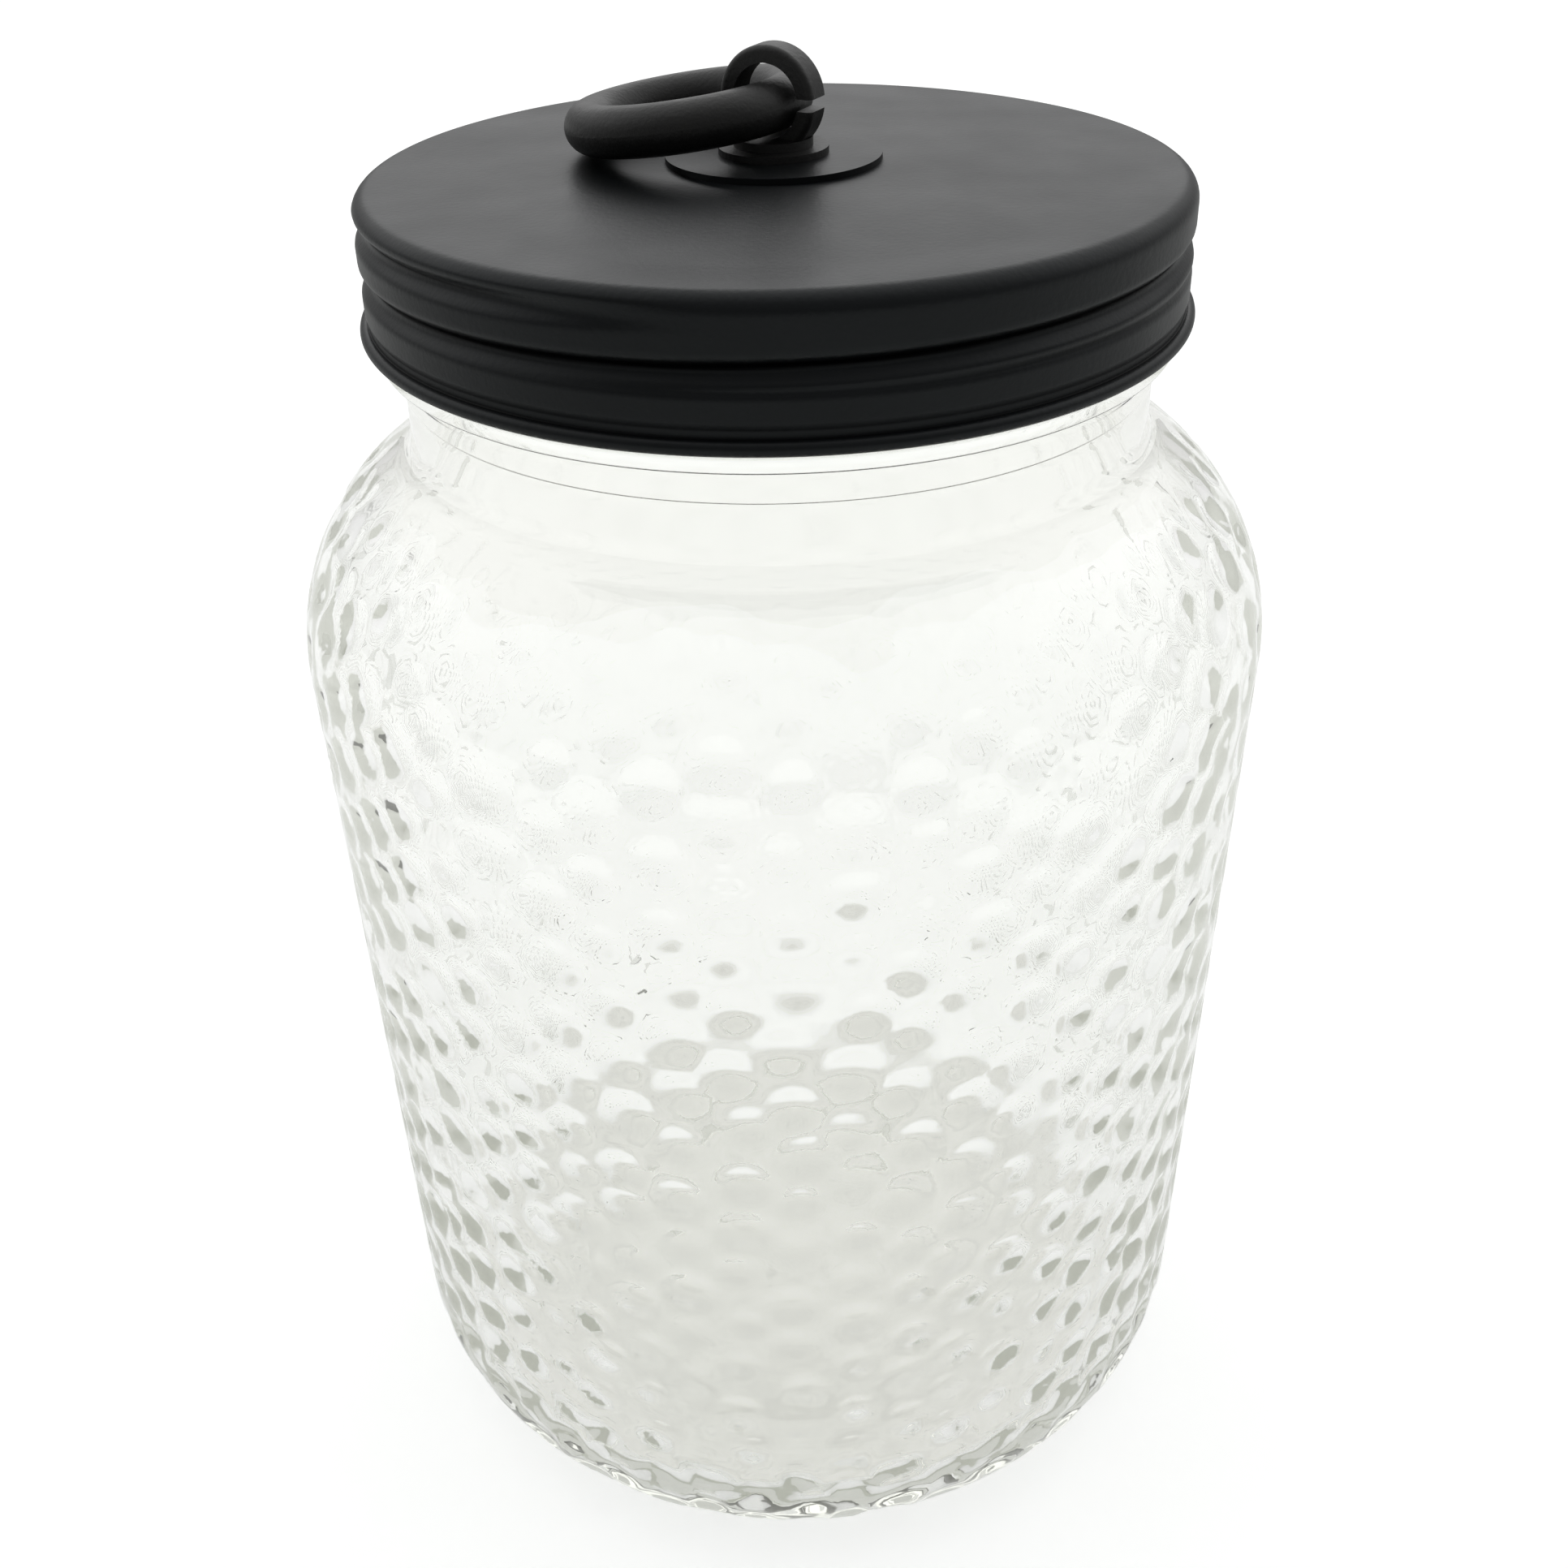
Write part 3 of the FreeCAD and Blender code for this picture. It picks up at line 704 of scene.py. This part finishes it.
HORIZON = 0.3                  # part of the light that is left at the horizon
SKY_RISE = (0.08, 0.45)        # directions, along Z, between which the horizon turns into the sky
SKY_LOW_GLASS = 0.95           # lowest level seen through the glass
CAMERA_DISTANCE = 0.2414       # metres in front of the jar's axis
CAMERA_RISE = 0.0577           # above the lid
CAMERA_PITCH = math.radians(32.52)
CAMERA_ROLL = math.radians(-1.34)
CAMERA_YAW = math.radians(-0.14)
CAMERA_LENS = 41.0
CAMERA_SENSOR = 36.0
CAMERA_NEAR = 0.01


def weighted(tree, ray_strengths):
    """Sum of strengths, each a socket or a number for one kind of ray from Light Path."""
    rays = tree.nodes.new("ShaderNodeLightPath")
    total = None
    for ray, strength in ray_strengths.items():
        product = maths(tree, "MULTIPLY", rays.outputs[ray], strength)
        total = product if total is None else maths(tree, "ADD", total, product)
    return total


def floor():
    bpy.ops.mesh.primitive_plane_add(size=FLOOR_SIZE, location=(0, 0, -FLOOR_DROP))
    plane = bpy.context.object
    plane.name = "floor"
    material, tree, shader = new_material("floor_white")
    shader.inputs["Base Color"].default_value = FLOOR_TONE
    shader.inputs["Roughness"].default_value = FLOOR_ROUGH
    shader.inputs["Specular IOR Level"].default_value = 0.0
    shader.inputs["Emission Color"].default_value = WHITE
    behind = stepped(tree, object_place(tree)["Y"], FAR_FLOOR - FAR_FLOOR_EDGE,
                     FAR_FLOOR + FAR_FLOOR_EDGE, FLOOR_SHINE_GLASS, FAR_SHINE_GLASS)
    shine = weighted(tree, {
        "Is Camera Ray": FLOOR_SHINE_CAMERA,
        "Is Transmission Ray": behind,
        "Is Singular Ray": FLOOR_SHINE_MIRROR,
    })
    tree.links.new(shine, shader.inputs["Emission Strength"])
    finish_with(plane, material)


def softbox(name, place, target, size, power):
    light = bpy.data.lights.new(name, "AREA")
    light.shape = "RECTANGLE"
    light.size, light.size_y = size
    light.energy = power
    lamp = bpy.data.objects.new(name, light)
    bpy.context.collection.objects.link(lamp)
    lamp.location = place
    direction = Vector(target) - Vector(place)
    lamp.rotation_mode = "QUATERNION"
    lamp.rotation_quaternion = direction.to_track_quat("-Z", "Y")


def studio():
    """Pale room: bright overhead and behind, dim along the horizon and in front."""
    world = bpy.data.worlds.new("studio")
    bpy.context.scene.world = world
    world.use_nodes = True
    tree = world.node_tree
    background = tree.nodes["Background"]
    coords = tree.nodes.new("ShaderNodeTexCoord")
    parts = tree.nodes.new("ShaderNodeSeparateXYZ")
    tree.links.new(coords.outputs["Generated"], parts.inputs[0])
    by_height = stepped(tree, parts.outputs["Z"], *SKY_RISE, HORIZON, 1.0)
    by_side = stepped(tree, parts.outputs["Y"], *SKY_TURN, SKY_FRONT, SKY_BACK)
    level = maths(tree, "MULTIPLY", by_height, by_side)
    rays = tree.nodes.new("ShaderNodeLightPath")
    through_glass = maths(tree, "MULTIPLY", rays.outputs["Is Transmission Ray"], SKY_LOW_GLASS)
    level = maths(tree, "MAXIMUM", level, through_glass)
    seen = tree.nodes.new("ShaderNodeMix")
    seen.inputs["B"].default_value = 1.0
    tree.links.new(rays.outputs["Is Camera Ray"], seen.inputs["Factor"])
    tree.links.new(level, seen.inputs["A"])
    background.inputs["Color"].default_value = WHITE
    tree.links.new(seen.outputs["Result"], background.inputs["Strength"])
    softbox("key", KEY_PLACE, KEY_TARGET, KEY_SIZE, KEY_POWER)


def camera():
    """Looks down on the lid's front from close by, tipped a little to the left."""
    level = math.cos(CAMERA_PITCH)
    ahead = Vector((math.sin(CAMERA_YAW) * level, math.cos(CAMERA_YAW) * level, -math.sin(CAMERA_PITCH)))
    right = Vector((math.cos(CAMERA_YAW), -math.sin(CAMERA_YAW), 0))
    up = right.cross(ahead)
    level_right = right * math.cos(CAMERA_ROLL) + up * math.sin(CAMERA_ROLL)
    level_up = up * math.cos(CAMERA_ROLL) - right * math.sin(CAMERA_ROLL)
    lens = bpy.data.cameras.new("camera")
    lens.sensor_width = CAMERA_SENSOR
    lens.lens = CAMERA_LENS
    lens.clip_start = CAMERA_NEAR
    eye = bpy.data.objects.new("camera", lens)
    bpy.context.collection.objects.link(eye)
    turn = Matrix((level_right, level_up, -ahead)).transposed().to_4x4()
    place = Matrix.Translation((0, -CAMERA_DISTANCE, LID_TOP * MM + CAMERA_RISE))
    eye.matrix_world = place @ turn
    bpy.context.scene.camera = eye


# ---------------------------------------------------------------- assembly
jar = glass_jar()
finish_with(jar, clear_glass())
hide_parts("glass_jar")
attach(jar, "jar")

lid = lid_skin()
finish_with(lid, black_paint("black_paint", True))
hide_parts("lid_shell")
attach(lid, "lid")

finish_with(nodes["backing_disc"], black_paint("disc_paint", False))
finish_with(nodes["lid_liner"], liner_rubber())
cast = black_cast()
for name in ("eye_bolt", "carry_ring"):
    finish_with(nodes[name], cast)
steel = zinc_steel()
for name in ("inner_washer", "stud_nut"):
    finish_with(nodes[name], steel)

floor()
studio()
camera()
bpy.context.scene.view_settings.view_transform = "Standard"
